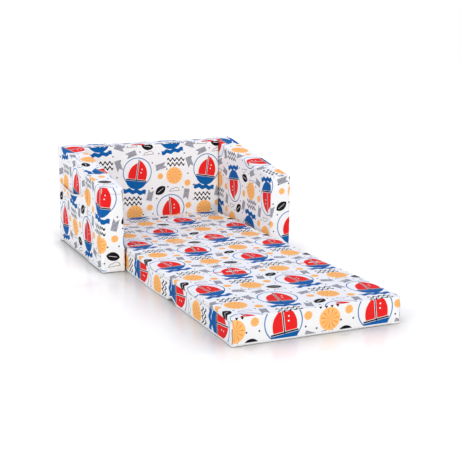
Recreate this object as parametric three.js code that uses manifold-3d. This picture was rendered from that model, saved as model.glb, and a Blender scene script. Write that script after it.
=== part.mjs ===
// Children's flip-open foam sofa, laid open: a back and two sloping arms round a fixed seat panel,
// with two more panels that unfold from it on to the floor.
// Millimetres, +Z up, +X to the right of someone facing the sofa, +Y towards the back.
// The origin is on the floor under the fixed seat panel, half a panel's length behind its front end.
import * as THREE from 'three';
import { mergeVertices } from 'three/addons/utils/BufferGeometryUtils.js';
import Module from 'manifold-3d';

const wasm = await Module();
wasm.setup();

// Driving sizes of the shell
const shellWidth = 780;
const shellDepth = 610;
const backHeight = 404;
const armFrontHeight = 317;
const armThickness = 84;
const backThickness = 92;
const topFlatDepth = 46;
const shellEdgeRound = 16;
const shellTopRound = 28;
const slopeBreakRound = 30;

// Driving sizes of the three panels
const panelLength = 484;
const panelSideClearance = 14;
const panelThickness = 90;
const panelEdgeRound = 14;
const panelEndRound = 22;
const notchLength = 48;
const notchHeight = 24;
const notchFootRound = 20;

// Cloth and clearances
const coverThickness = 1.5;
const baseClothThickness = 1.2;
const clearance = 0.3;
const bottomDrop = 9;
const panelGap = 1.6;
const foldedClearance = 3;
const overrun = 20;

// Folds
const hingeTapeThickness = 1;
const upperTapeHeight = 14;
const leafThickness = 1.2;
const leafFoldGap = 0.4;

// Side pocket on the left arm
const pocketFrontStrip = 190;
const pocketRearStrip = 46;
const pocketFoot = 8;
const pocketMouthRear = 268;
const pocketMouthMiddle = 234;
const pocketMouthFront = 292;
const pocketBulge = 20;
const pocketThickness = 1.5;
const pocketStandoff = 0.3;
const hemWidth = 9;
const hemThickness = 1.2;
const pocketColumns = 14;
const pocketRows = 8;

// Zips
const zipTapeWidth = 10;
const zipTapeThickness = 1;
const zipRecess = 0.2;
const backZipEndInset = 86;
const panelZipEndInset = 62;
const backZipHeight = 46;
const panelZipHeight = 46;
const zipEndMargin = 4;
const sliderLength = 11;
const sliderWidth = 7;
const sliderThickness = 2.6;
const pullLength = 18;
const pullWidth = 5;
const pullThickness = 1;

// Smoothness of the round stretches
const cornerSteps = 5;
const edgeSteps = 4;

// Places worked out from the sizes above
const halfShell = shellWidth / 2;
const innerHalf = halfShell - armThickness;
const halfPanel = innerHalf - panelSideClearance;
const backFrontY = panelLength / 2 + foldedClearance;
const backRearY = backFrontY + backThickness;
const armFrontY = backRearY - shellDepth;
const upperFoldY = -(panelLength + panelGap) / 2;
const lowerFoldY = upperFoldY - panelLength - panelGap;
const frontEndY = lowerFoldY - panelGap / 2 - panelLength;
const backZipLength = 2 * (innerHalf - backZipEndInset);
const panelZipLength = panelLength - 2 * panelZipEndInset;
const halfGap = panelGap / 2;

// Surface finishes
const printedCloth = { color: 0xf1f0f4, roughness: 0.85, metalness: 0 };
const pocketCloth = { color: 0xecebf0, roughness: 0.85, metalness: 0 };
const foam = { color: 0xf3e9c8, roughness: 0.95, metalness: 0 };
const baseCloth = { color: 0xd9d9de, roughness: 0.95, metalness: 0 };
const bindingTape = { color: 0xe6e6ea, roughness: 0.9, metalness: 0 };
const zipTape = { color: 0xe2e2e8, roughness: 0.8, metalness: 0 };
const zipMetal = { color: 0xc9cbd0, roughness: 0.35, metalness: 0.8 };

// Booleans
function solidOf(geometry) {
  const bare = geometry.clone();
  bare.deleteAttribute('normal');
  bare.deleteAttribute('uv');
  const merged = mergeVertices(bare);
  return new wasm.Manifold(new wasm.Mesh({
    numProp: 3,
    vertProperties: new Float32Array(merged.attributes.position.array),
    triVerts: new Uint32Array(merged.index.array),
  }));
}

function geometryOf(solid) {
  const mesh = solid.getMesh();
  const geometry = new THREE.BufferGeometry();
  geometry.setAttribute('position', new THREE.BufferAttribute(new Float32Array(mesh.vertProperties), 3));
  geometry.setIndex(new THREE.BufferAttribute(new Uint32Array(mesh.triVerts), 1));
  geometry.computeVertexNormals();
  return geometry;
}

function boxBetween(low, high) {
  const size = new THREE.Vector3().subVectors(high, low);
  const middle = new THREE.Vector3().addVectors(low, high).multiplyScalar(0.5);
  return solidOf(new THREE.BoxGeometry(size.x, size.y, size.z).translate(middle.x, middle.y, middle.z));
}

// A side outline is a list of corners {y, z, before, after}: the corner's round starts "before" short of
// it along the edge that comes in and ends "after" past it along the edge that goes out.
function outlineShape(corners) {
  const points = corners.map((corner) => new THREE.Vector2(corner.y, corner.z));
  const shape = new THREE.Shape();
  corners.forEach((corner, i) => {
    const here = points[i];
    const towardsPrevious = points[(i + points.length - 1) % points.length].clone().sub(here).normalize();
    const towardsNext = points[(i + 1) % points.length].clone().sub(here).normalize();
    const start = here.clone().addScaledVector(towardsPrevious, corner.before);
    const end = here.clone().addScaledVector(towardsNext, corner.after);
    if (i === 0) shape.moveTo(start.x, start.y);
    else shape.lineTo(start.x, start.y);
    if (corner.before > 0) shape.quadraticCurveTo(here.x, here.y, end.x, end.y);
  });
  shape.closePath();
  return shape;
}

// The same outline moved inwards all round by one distance; the outline runs anticlockwise.
function insetCorners(corners, inset) {
  const points = corners.map((corner) => new THREE.Vector2(corner.y, corner.z));
  return corners.map((corner, i) => {
    const here = points[i];
    const into = here.clone().sub(points[(i + points.length - 1) % points.length]).normalize();
    const out = points[(i + 1) % points.length].clone().sub(here).normalize();
    const halfTurn = Math.atan2(into.cross(out), into.dot(out)) / 2;
    const tangent = Math.tan(halfTurn);
    const inward = new THREE.Vector2(-into.y, into.x);
    const moved = here.clone().addScaledVector(inward, inset).addScaledVector(into, -inset * tangent);
    const shortened = (cut) => (cut > 0 ? cut - inset * tangent : 0);
    return { y: moved.x, z: moved.y, before: shortened(corner.before), after: shortened(corner.after) };
  });
}

// A block with a side outline across its width and rounded edges at both side faces
const acrossWidth = new THREE.Matrix4().makeBasis(
  new THREE.Vector3(0, 1, 0),
  new THREE.Vector3(0, 0, 1),
  new THREE.Vector3(1, 0, 0),
);

function softBlock(corners, lowX, highX, edgeRound, inset) {
  const round = edgeRound > 0 ? edgeRound - inset : 0;
  const geometry = new THREE.ExtrudeGeometry(outlineShape(insetCorners(corners, inset)), {
    depth: highX - lowX - 2 * inset - 2 * round,
    curveSegments: cornerSteps,
    bevelEnabled: round > 0,
    bevelThickness: round,
    bevelSize: round,
    bevelOffset: -round,
    bevelSegments: edgeSteps,
  });
  geometry.applyMatrix4(acrossWidth);
  geometry.translate(lowX + inset + round, 0, 0);
  return solidOf(geometry);
}

function keptAbove(solid, height) {
  const low = new THREE.Vector3(-shellWidth, frontEndY - overrun, height);
  const high = new THREE.Vector3(shellWidth, backRearY + overrun, backHeight + overrun);
  return solid.intersect(boxBetween(low, high));
}

function keptBetween(solid, bottom, top) {
  const low = new THREE.Vector3(-shellWidth, frontEndY - overrun, bottom);
  const high = new THREE.Vector3(shellWidth, backRearY + overrun, top);
  return solid.intersect(boxBetween(low, high));
}

// Outer block, cavity and core of one upholstered piece, all from one description
function upholstered(blockAt) {
  const outer = blockAt(0);
  const cavity = blockAt(coverThickness);
  const core = blockAt(coverThickness + clearance);
  return {
    cover: keptAbove(outer.subtract(cavity), baseClothThickness),
    foam: keptAbove(core, baseClothThickness + clearance),
    baseCloth: keptBetween(outer, 0, baseClothThickness),
  };
}

const group = new THREE.Group();

function addPiece(name, solid, finish) {
  const mesh = new THREE.Mesh(geometryOf(solid), new THREE.MeshStandardMaterial(finish));
  mesh.name = name;
  group.add(mesh);
}

// Arms: full depth, with the flat of the back's top carried on to their rear ends
const armCorners = [
  { y: armFrontY, z: -bottomDrop, before: 0, after: 0 },
  { y: backRearY, z: -bottomDrop, before: 0, after: 0 },
  { y: backRearY, z: backHeight, before: shellTopRound, after: shellTopRound },
  { y: backRearY - topFlatDepth, z: backHeight, before: slopeBreakRound / 2, after: slopeBreakRound },
  { y: armFrontY, z: armFrontHeight, before: shellTopRound, after: shellTopRound },
];

function armBlock(side, inset) {
  const lowX = side < 0 ? -halfShell : innerHalf;
  const highX = side < 0 ? -innerHalf : halfShell;
  const arm = softBlock(armCorners, lowX, highX, shellEdgeRound, inset);
  const wholeWidth = softBlock(armCorners, -halfShell, halfShell, shellEdgeRound, inset);
  const rearCorner = boxBetween(
    new THREE.Vector3(lowX + inset, backFrontY + inset, -bottomDrop),
    new THREE.Vector3(highX - inset, backRearY - inset, backHeight),
  );
  return arm.add(wholeWidth.intersect(rearCorner));
}

const leftArm = upholstered((inset) => armBlock(-1, inset));
const rightArm = upholstered((inset) => armBlock(1, inset));

// Back: stands between the arms
const backCorners = [
  { y: backFrontY, z: -bottomDrop, before: 0, after: 0 },
  { y: backRearY, z: -bottomDrop, before: 0, after: 0 },
  { y: backRearY, z: backHeight, before: shellTopRound, after: shellTopRound },
  { y: backFrontY, z: backHeight, before: shellTopRound, after: shellTopRound },
];
const backEndX = innerHalf - clearance;
const back = upholstered((inset) => softBlock(backCorners, -backEndX, backEndX, 0, inset));

// Panels: the lower corners at a fold are cut away, which leaves a low arch under each fold
const notchReach = notchLength * (1 + bottomDrop / notchHeight);

function footCorners(endY, fold, towardsMiddle) {
  const foot = { y: endY, z: -bottomDrop, before: 0, after: 0 };
  if (!fold) return [foot];
  foot.y += towardsMiddle * notchReach;
  foot.before = notchFootRound;
  foot.after = notchFootRound;
  return [foot, { y: endY, z: notchHeight, before: 0, after: 0 }];
}

function panelCorners(rearY, frontY, rearFold, frontFold) {
  const frontTopRound = frontFold ? 0 : panelEndRound;
  return [
    ...footCorners(frontY, frontFold, 1).reverse(),
    ...footCorners(rearY, rearFold, -1),
    { y: rearY, z: panelThickness, before: 0, after: 0 },
    { y: frontY, z: panelThickness, before: frontTopRound, after: frontTopRound },
  ];
}

function panel(rearY, frontY, rearFold, frontFold) {
  const corners = panelCorners(rearY, frontY, rearFold, frontFold);
  return upholstered((inset) => softBlock(corners, -halfPanel, halfPanel, panelEdgeRound, inset));
}

const seatPanel = panel(backFrontY - clearance, upperFoldY + halfGap, false, true);
const middlePanel = panel(upperFoldY - halfGap, lowerFoldY + halfGap, true, true);
const frontPanel = panel(lowerFoldY - halfGap, frontEndY, true, false);

// Zips: a slot in the cover's wall, the closed tape in it, and a slider that runs outside it
function zipBox(length, width, depthOut, depthIn, place) {
  const low = new THREE.Vector3(-length / 2, depthIn, -width / 2);
  const high = new THREE.Vector3(length / 2, depthOut, width / 2);
  return place(boxBetween(low, high));
}

function zip(length, place) {
  const slot = zipBox(length, zipTapeWidth, overrun, -coverThickness - clearance / 2, place);
  const tapeFace = -zipRecess;
  const tapeLength = length - 2 * clearance;
  const tapeWidth = zipTapeWidth - 2 * clearance;
  const tape = zipBox(tapeLength, tapeWidth, tapeFace, tapeFace - zipTapeThickness, place);
  const sliderBase = tapeFace + clearance;
  const sliderX = -length / 2 + zipEndMargin + sliderLength / 2;
  const sliderTop = sliderBase + sliderThickness;
  const body = boxBetween(
    new THREE.Vector3(sliderX - sliderLength / 2, sliderBase, -sliderWidth / 2),
    new THREE.Vector3(sliderX + sliderLength / 2, sliderTop, sliderWidth / 2),
  );
  const pull = boxBetween(
    new THREE.Vector3(sliderX - pullWidth / 2, sliderTop - pullThickness, -pullLength),
    new THREE.Vector3(sliderX + pullWidth / 2, sliderTop, 0),
  );
  return { slot, tape, slider: place(body.add(pull)) };
}

// A zip is made along +X with its outside towards +Y, and its slider starts at the low end. The back's
// zip stays so; a panel's zip swaps X and Y, so it faces +X and its slider starts at the front.
const onBack = (solid) => solid.translate([0, backRearY, backZipHeight]);
const onPanelSide = (middleY) => (solid) => solid.mirror([1, -1, 0])
  .translate([halfPanel, middleY, panelZipHeight]);
const backZip = zip(backZipLength, onBack);
const middleZip = zip(panelZipLength, onPanelSide((upperFoldY + lowerFoldY) / 2));
const frontZip = zip(panelZipLength, onPanelSide((lowerFoldY + frontEndY) / 2));

// Side pocket: a cloth panel that stands off the left arm's outer face, most at the middle of its mouth
const pocketFrontY = armFrontY + pocketFrontStrip;
const pocketRearY = backRearY - pocketRearStrip;

function mouthHeight(share) {
  const straight = THREE.MathUtils.lerp(pocketMouthFront, pocketMouthRear, share);
  const middle = (pocketMouthFront + pocketMouthRear) / 2;
  const sag = middle - pocketMouthMiddle;
  return straight - sag * Math.sin(Math.PI * share);
}

function standoff(share, rise) {
  return pocketStandoff + pocketBulge * Math.sin(Math.PI * share) * rise * rise;
}

function hangingSheet(columns, rows, thickness, placeOf) {
  const geometry = new THREE.BoxGeometry(1, 1, 1, columns, rows, 1);
  const position = geometry.attributes.position;
  for (let i = 0; i < position.count; i += 1) {
    const share = 0.5 - position.getX(i);
    const rise = position.getY(i) + 0.5;
    const outward = position.getZ(i) > 0 ? thickness : 0;
    const place = placeOf(share, rise);
    position.setXYZ(i, -halfShell - place.off - outward, place.y, place.z);
  }
  return solidOf(geometry);
}

const pocketY = (share) => THREE.MathUtils.lerp(pocketFrontY, pocketRearY, share);
const sidePocket = hangingSheet(pocketColumns, pocketRows, pocketThickness, (share, rise) => ({
  y: pocketY(share),
  z: THREE.MathUtils.lerp(pocketFoot, mouthHeight(share), rise),
  off: standoff(share, rise),
}));

function riseAt(share, height) {
  return (height - pocketFoot) / (mouthHeight(share) - pocketFoot);
}

const pocketHem = hangingSheet(pocketColumns, 1, hemThickness, (share, rise) => {
  const height = mouthHeight(share) - hemWidth * (1 - rise);
  const cloth = standoff(share, riseAt(share, height));
  return { y: pocketY(share), z: height, off: cloth + pocketThickness + clearance };
});

// Folds: a tape that stands in the upper fold's slit, and two leaves on the floor that meet at the lower fold
const tapeEndX = halfPanel - panelEdgeRound;
const upperTape = boxBetween(
  new THREE.Vector3(-tapeEndX, upperFoldY - hingeTapeThickness / 2, panelThickness - upperTapeHeight),
  new THREE.Vector3(tapeEndX, upperFoldY + hingeTapeThickness / 2, panelThickness),
);

function lowerLeaf(solid, side) {
  const reach = side > 0 ? solid.boundingBox().min[1] : solid.boundingBox().max[1];
  const fold = lowerFoldY + side * leafFoldGap;
  const edge = reach - side * clearance;
  return boxBetween(
    new THREE.Vector3(-tapeEndX, Math.min(fold, edge), 0),
    new THREE.Vector3(tapeEndX, Math.max(fold, edge), leafThickness),
  );
}

// The pieces by name
function addUpholstered(name, pieces, zipPieces) {
  const cover = zipPieces ? pieces.cover.subtract(zipPieces.slot) : pieces.cover;
  addPiece(`${name}_foam`, pieces.foam, foam);
  addPiece(`${name}_cover`, cover, printedCloth);
  addPiece(`${name}_base_cloth`, pieces.baseCloth, baseCloth);
  if (!zipPieces) return;
  addPiece(`${name}_zip_tape`, zipPieces.tape, zipTape);
  addPiece(`${name}_zip_slider`, zipPieces.slider, zipMetal);
}

addUpholstered('left_arm', leftArm);
addUpholstered('right_arm', rightArm);
addUpholstered('back', back, backZip);
addUpholstered('seat_panel', seatPanel);
addUpholstered('middle_panel', middlePanel, middleZip);
addUpholstered('front_panel', frontPanel, frontZip);
addPiece('side_pocket', sidePocket, pocketCloth);
addPiece('side_pocket_hem', pocketHem, bindingTape);
addPiece('upper_hinge_tape', upperTape, bindingTape);
addPiece('lower_hinge_leaf_middle_panel', lowerLeaf(middlePanel.baseCloth, 1), bindingTape);
addPiece('lower_hinge_leaf_front_panel', lowerLeaf(frontPanel.baseCloth, -1), bindingTape);

export default group;
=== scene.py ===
import math

import bpy
import numpy as np
from mathutils import Color, Matrix, Vector


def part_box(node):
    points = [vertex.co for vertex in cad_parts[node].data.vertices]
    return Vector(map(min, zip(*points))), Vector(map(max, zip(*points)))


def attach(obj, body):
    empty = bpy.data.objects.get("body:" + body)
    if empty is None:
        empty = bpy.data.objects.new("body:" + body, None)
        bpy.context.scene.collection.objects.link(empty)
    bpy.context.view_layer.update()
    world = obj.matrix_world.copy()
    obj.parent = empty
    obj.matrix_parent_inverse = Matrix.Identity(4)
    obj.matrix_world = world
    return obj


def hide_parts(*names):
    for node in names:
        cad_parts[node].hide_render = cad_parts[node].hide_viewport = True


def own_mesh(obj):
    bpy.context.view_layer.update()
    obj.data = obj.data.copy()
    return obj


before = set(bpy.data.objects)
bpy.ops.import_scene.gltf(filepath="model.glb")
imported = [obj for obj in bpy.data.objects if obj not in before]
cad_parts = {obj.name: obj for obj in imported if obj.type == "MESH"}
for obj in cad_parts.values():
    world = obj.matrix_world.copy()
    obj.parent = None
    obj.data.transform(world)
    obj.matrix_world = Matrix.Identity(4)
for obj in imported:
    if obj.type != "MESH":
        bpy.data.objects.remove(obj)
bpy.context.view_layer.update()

METRE = 1.0

# Shape of the upholstered blocks
ARM_FRONT_HEIGHT = 0.317
TOP_FLAT_DEPTH = 0.046
SLOPE_BREAK = 0.030
LEAN = 0.0045
LEAN_START = 0.15
LEAN_REACH = 0.10
NOTCH_LENGTH = 0.048
NOTCH_HEIGHT = 0.018
SHELL_ROUND = 0.009
PANEL_ROUND = 0.009
JOINT_ROUND = 0.0016
JOINT_EASE = 0.016
JOINT_END = 0.012
JOINT_LINE = 0.008
FOLD_ROUND = 0.0025
FOOT_ROUND = 0.0025
BASE_TOP = 0.0013
FLOOR_CLEARANCE = 0.0002
TRAY_RISE = 0.009
TRAY_THICKNESS = 0.0006
BULGE = 0.005
PULL_IN = 0.0036
SOFT_SHARE = 0.6
SIDE_GROW = (0.002, BULGE)
END_GROW = (0.001, BULGE)
SHELL_TOP_GROW = (0.003, BULGE)
RIGHT_ARM_TOP_GROW = (0.0055, BULGE)
FACE_GROW = (0, BULGE)
INNER_GROW = (0.0005, 0.0015)
PANEL_TOP_GROW = (0.0003, 0)
FOLD_GROW = (0.0006, 0)
CELL = 0.0105
ROUND_STEPS = 3

# Seams: how far the top's cloth comes down before it is sewn, and the lattice lines beside a seam
SIDE_BAND = 0.017
ARM_BAND = 0.019
SEAM_NEAR = 0.005
SEAT_EASE = 0.035

# Zips: the axis of the side that holds each, and how the cloth lies round them and under the tapes
ZIP_AXES = {"back": 1, "middle_panel": 0, "front_panel": 0}
ZIP_HEIGHT = 0.046
ZIP_FLAT = 0.009
HELD_EASE = 0.016
ZIP_SINK = 0.0015
ZIP_LIP = 0.0025

# Cloth simulation
CLOTH_FRAMES = 20
CLOTH_PRESSURE = 4.0
CLOTH_QUALITY = 4
CLOTH_MASS = 0.3

# Fine shape of the cloth
SEAM_DEPTH = 0.0012
SEAM_WIDTH = 0.004
RIPPLE_DEPTH = 0.0010
RIPPLE_REACH = 0.028
RIPPLE_LENGTH = 0.034
BROAD_DEPTH = 0.0009
BROAD_LENGTH = 0.16
WAVE_COUNT = 7
WAVE_SHARES = (0.7, 1.6)
CORNER_DIP = 0.004
CORNER_DIP_REACH = 0.032
SEED_STEP = 10

# The middle panel's left side, which sags outwards in front of the arm, most at its foot
FLANK_TOP = 0.0080
FLANK_FOOT = 0.0100
FLANK_REACH = 0.050
FLANK_EASE_REAR = 0.030
FLANK_EASE_FRONT = 0.150

# Side pocket, as cut and hung
POCKET_FRONT_STRIP = 0.190
POCKET_REAR_STRIP = 0.046
POCKET_FOOT = 0.0096
MOUTH_REAR = 0.253
MOUTH_FRONT = 0.301
MOUTH_SAG = 0.008
MOUTH_CURL = 8
POCKET_BULGE = 0.012
POCKET_FOLDS = 5
POCKET_FOLD_SHARE = 0.12
POCKET_FOLD_START = 1.1
POCKET_STANDOFF = 0.0006
CLOTH_THICKNESS = 0.0012
CLOTH_GAP = 0.0003
HEM_WIDTH = 0.007
HEM_ROWS = 6
POCKET_COLUMNS = 60
POCKET_ROWS = 40

# Print: one repeat, and where its motifs stand in it
REPEAT_ACROSS = 0.324
REPEAT_UP = 0.340
INK_EDGE = 0.0005

# Node sums
class Value:
    """A number worked out by shader nodes, written like a sum."""

    def __init__(self, tree, socket):
        self.tree = tree
        self.socket = socket

    def math(self, operation, *others):
        inputs = dict(enumerate((self, *others)))
        node = node_of(self.tree, "ShaderNodeMath", inputs, operation=operation)
        return Value(self.tree, node.outputs[0])

    def __add__(self, other):
        return self.math("ADD", other)

    def __sub__(self, other):
        return self.math("SUBTRACT", other)

    def __mul__(self, other):
        return self.math("MULTIPLY", other)

    def both(self, other):
        """The distance to what two shapes share."""
        return self.math("MAXIMUM", other)

    def either(self, other):
        """The distance to the nearer of two shapes."""
        return self.math("MINIMUM", other)

    def size(self):
        return self.math("ABSOLUTE")

    def wave(self, length):
        """A sine of that wavelength."""
        return (self * (2 * math.pi / length)).math("SINE")

    def covered(self):
        """1 inside a shape and 0 outside it, with a narrow soft edge."""
        mask = self.math("MULTIPLY_ADD", -1 / INK_EDGE, 0.5)
        mask.socket.node.use_clamp = True
        return mask


def node_of(tree, kind, inputs=None, **settings):
    """Adds a node, with its settings and with values or sockets on its inputs."""
    node = tree.nodes.new(kind)
    for key, value in settings.items():
        setattr(node, key, value)
    for key, value in (inputs or {}).items():
        if isinstance(value, Value):
            value = value.socket
        if isinstance(value, bpy.types.NodeSocket):
            tree.links.new(value, node.inputs[key])
        else:
            node.inputs[key].default_value = value
    return node


def linear(*levels):
    """Red, green and blue from 0 to 255, as a colour for a socket."""
    return (*Color(level / 255 for level in levels).from_srgb_to_scene_linear(), 1)


def mixed(tree, share, below, above):
    """Colour above laid over colour below where share is 1."""
    return node_of(tree, "ShaderNodeMix", {0: share, 6: below, 7: above}, data_type="RGBA").outputs[2]


def held(value, top=1.0):
    """The value, kept between 0 and top."""
    return value.math("MAXIMUM", 0).math("MINIMUM", top)


def varied(value, share):
    """A factor round 1 that follows a value between 0 and 1, by that share in all."""
    return value.math("MULTIPLY_ADD", share, 1 - share / 2)


def vector_sum(tree, operation, *values):
    return node_of(tree, "ShaderNodeVectorMath", dict(enumerate(values)), operation=operation).outputs[0]


def coordinates(tree, point):
    return [Value(tree, part) for part in node_of(tree, "ShaderNodeSeparateXYZ", {0: point}).outputs]


def own_place(tree):
    """The point's place in the object's own coordinates."""
    return node_of(tree, "ShaderNodeTexCoord").outputs["Object"]


# Shapes of the print, as signed distances in metres
def length_of(x, y):
    return (x * x + y * y).math("SQRT")


def disc(x, y, radius):
    return length_of(x, y) - radius


def outline(distance, half_line):
    return distance.size() - half_line


def bar(x, y, half_width, half_height):
    return (x.size() - half_width).both(y.size() - half_height)


def placed(tree, point, place):
    """Coordinates of a motif that stands at place in every repeat: across, up and turn."""
    across, up, turn = place
    moved = vector_sum(tree, "SUBTRACT", point, (across, up, 0))
    half = (REPEAT_ACROSS / 2, REPEAT_UP / 2, 1)
    local = vector_sum(tree, "WRAP", moved, half, tuple(-size for size in half))
    if turn:
        inputs = {"Vector": local, "Angle": math.radians(turn)}
        local = node_of(tree, "ShaderNodeVectorRotate", inputs, rotation_type="Z_AXIS").outputs[0]
    return coordinates(tree, local)[:2]


# Boat: two bellied sails over a bowl of a hull, in front of a thin ring, over one thick wave
RING_RADIUS = 0.063
RING_RISE = 0.028
RING_HALF_LINE = 0.0019
SAIL_FOOT = -0.002
MAIN_SAIL = (-0.024, 0.018, 0.069)
JIB = (0.024, 0.012, 0.063)
MAST_HALF = 0.0020
MAST_TOP = 0.084
SAIL_GAP = 0.0036
BOOM_HEIGHT = -0.0062
BOOM_HALF = 0.0026
BOOM_REACH = 0.047
HULL = (0, 0.004, 0.050)
DECK = -0.0100
SAIL_SPOTS = ((0.017, 0.028), (0.019, 0.043))
SPOT_RADIUS = 0.0028
SEA_HEIGHT = -0.0555
SEA_REACH = 0.050
SEA_HALF = 0.0095
SEA_WAVE = 0.034
SEA_SWING = 0.0036


def boat(x, y):
    """Distances to one boat's inks."""
    main = disc(x - MAIN_SAIL[0], y - MAIN_SAIL[1], MAIN_SAIL[2]).both(x * -1 + SAIL_GAP)
    jib = disc(x - JIB[0], y - JIB[1], JIB[2]).both(x + SAIL_GAP)
    sails = main.either(jib).both(y * -1 + SAIL_FOOT)
    hull = disc(x - HULL[0], y - HULL[1], HULL[2]).both(y - DECK)
    sea = (y - SEA_HEIGHT - x.wave(SEA_WAVE) * SEA_SWING).size() - SEA_HALF
    sea = sea.both(x.size() - SEA_REACH)
    mast = bar(x, y - (MAST_TOP + DECK) / 2, MAST_HALF, (MAST_TOP - DECK) / 2)
    boom = bar(x, y - BOOM_HEIGHT, BOOM_REACH, BOOM_HALF)
    ring = outline(disc(x, y - RING_RISE, RING_RADIUS), RING_HALF_LINE)
    upper, lower = (disc(x - across, y - up, SPOT_RADIUS) for across, up in SAIL_SPOTS)
    light = upper.either(lower)
    black = mast.either(boom)
    return {"red": sails, "blue": hull.either(sea), "black": black, "line": ring, "light": light}


# Fruit slice: a disc with lighter spokes
SLICE_SPOKES = 11
SPOKE_SHARE = 0.3
RIND_SHARE = 0.17


def fruit_slice(x, y, radius):
    flesh = disc(x, y, radius)
    angle = y.math("ARCTAN2", x) * (SLICE_SPOKES / (2 * math.pi))
    inside = flesh.math("LESS_THAN", -radius * RIND_SHARE)
    spokes = angle.math("FRACT").math("LESS_THAN", SPOKE_SHARE) * inside
    return {"orange": flesh, "pith": spokes}


# Flag: a striped swallowtail
FLAG_HALF = 0.024
FLAG_RISE = 0.0125
FLAG_CUT = 0.012
FLAG_STRIPE = 0.0046
STRIPE_SHARE = 0.72


def flag(x, y):
    cloth_shape = bar(x, y, FLAG_HALF, FLAG_RISE).both(x - y.size() - FLAG_CUT)
    return {"grey": cloth_shape.both((x.wave(FLAG_STRIPE) - STRIPE_SHARE) * FLAG_STRIPE)}


# Leaf: two arcs and a light vein
LEAF_RADIUS = 0.030
LEAF_OFFSET = 0.013
VEIN_HALF = 0.0008
VEIN_REACH = 0.016


def leaf(x, y):
    blade = disc(x, y - LEAF_OFFSET, LEAF_RADIUS).both(disc(x, y + LEAF_OFFSET, LEAF_RADIUS))
    vein = bar(x, y, VEIN_REACH, VEIN_HALF)
    return {"black": blade, "light": vein}


# Water: two rows of bold ripples
WATER_HALF_WIDTH = 0.040
WATER_ROW = 0.021
WATER_WAVE = 0.020
WATER_SWING = 0.0058
WATER_HALF_LINE = 0.0042


def water(x, y):
    upper = y.math("GREATER_THAN", 0)
    in_row = y + WATER_ROW / 2 - upper * WATER_ROW
    stroke = (in_row - x.wave(WATER_WAVE) * WATER_SWING).size() - WATER_HALF_LINE
    return {"black": stroke.both(bar(x, y, WATER_HALF_WIDTH, WATER_ROW))}


# Hills: two outlined domes on a ground line
HILLS = ((-0.009, 0.011), (0.008, 0.015))
HILL_HALF_LINE = 0.0009
GROUND_REACH = 0.025


def hills(x, y):
    first, second = (disc(x - across, y, radius) for across, radius in HILLS)
    domes = outline(first.either(second), HILL_HALF_LINE).both(y * -1)
    return {"fine": domes.either(bar(x, y, GROUND_REACH, HILL_HALF_LINE))}


# Where the motifs stand in a repeat: across, up and turn in degrees
BOATS = ((0.080, 0.088, -7), (0.245, 0.258, 9))
SLICES = ((0.236, 0.106, 0.037), (0.094, 0.262, 0.037), (0.160, 0.126, 0.014), (0.304, 0.128, 0.014),
          (0.156, 0.226, 0.014), (0.030, 0.262, 0.013))
FLAGS = ((0.172, 0.060, 20), (0.306, 0.182, -75), (0.150, 0.176, 100), (0.034, 0.306, -15),
         (0.222, 0.026, 160), (0.166, 0.318, 72))
LEAVES = ((0.296, 0.060, 12), (0.030, 0.200, -35))
WATERS = ((0.228, 0.162, 0), (0.102, 0.322, 0))
HILL_PLACES = ((0.226, 0.060, 0), (0.094, 0.194, 0), (0.300, 0.022, -6))
DOTS = ((0.142, 0.020), (0.190, 0.082), (0.262, 0.036), (0.276, 0.098), (0.184, 0.150), (0.152, 0.092),
        (0.320, 0.098), (0.064, 0.214), (0.134, 0.208), (0.014, 0.290), (0.060, 0.292), (0.158, 0.268),
        (0.174, 0.340), (0.012, 0.166), (0.316, 0.212), (0.024, 0.024), (0.318, 0.324), (0.184, 0.216))
DOT_RADIUS = 0.0033
INK_COLOURS = {
    "fine": linear(70, 72, 84),
    "line": linear(52, 116, 182),
    "orange": linear(251, 190, 118),
    "grey": linear(104, 107, 124),
    "blue": linear(8, 92, 164),
    "red": linear(232, 36, 38),
    "black": linear(20, 20, 26),
    "light": linear(240, 238, 242),
}
CLOTH_WHITE = linear(239, 240, 243)
PITH = linear(240, 152, 66)


def print_inks(tree, point):
    """The print's distances, one for each ink, and where the slices are lighter."""
    found = {}
    pith = None

    def gather(shapes):
        for ink, distance in shapes.items():
            found[ink] = found[ink].either(distance) if ink in found else distance

    for place in BOATS:
        gather(boat(*placed(tree, point, place)))
    for across, up, radius in SLICES:
        shapes = fruit_slice(*placed(tree, point, (across, up, 0)), radius)
        spokes = shapes.pop("pith")
        pith = pith.math("MAXIMUM", spokes) if pith else spokes
        gather(shapes)
    for motif, places in ((flag, FLAGS), (leaf, LEAVES), (water, WATERS), (hills, HILL_PLACES)):
        for place in places:
            gather(motif(*placed(tree, point, place)))
    for across, up in DOTS:
        gather({"fine": disc(*placed(tree, point, (across, up, 0)), DOT_RADIUS)})
    return found, pith


# Materials
THREAD = 0.0011
WEAVE_DEPTH = 0.00012
NOISE_DETAIL = 2.0
UNEVEN_SCALE = 9.0
MOTTLE_SCALE = 260.0
CREASE_SCALE = 22.0
CREASE_DETAIL = 3.0
CREASE_DEPTH = 0.0016
PUCKER_SCALE = 70.0
PUCKER_DETAIL = 1.0
PUCKER_DEPTH = 0.0022
PUCKER_REACH = 0.014
# Painted shade in each seam's crease, and a slight darkening of the cloth beside each seam
SEAM_LINE = 0.0016
SEAM_SHADE = 0.34
BESIDE_SEAM_REACH = 0.010
BESIDE_SEAM_DARKENING = 0.05
CLOTH_VARIES_SHARE = 0.06
CLOTH_FINISH = {
    "Roughness": 0.82,
    "Sheen Weight": 0.015,
    "Sheen Roughness": 0.5,
    "Specular IOR Level": 0.08,
}


def fresh_material(name, finish):
    material = bpy.data.materials.new(name)
    material.use_nodes = True
    shader = material.node_tree.nodes["Principled BSDF"]
    for key, value in finish.items():
        shader.inputs[key].default_value = value
    return material, material.node_tree, shader


def coloured(tree, shader, colour, shade):
    """Gives the shader a colour, darkened by the shade."""
    tree.links.new(vector_sum(tree, "MULTIPLY", colour, shade), shader.inputs["Base Color"])


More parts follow.
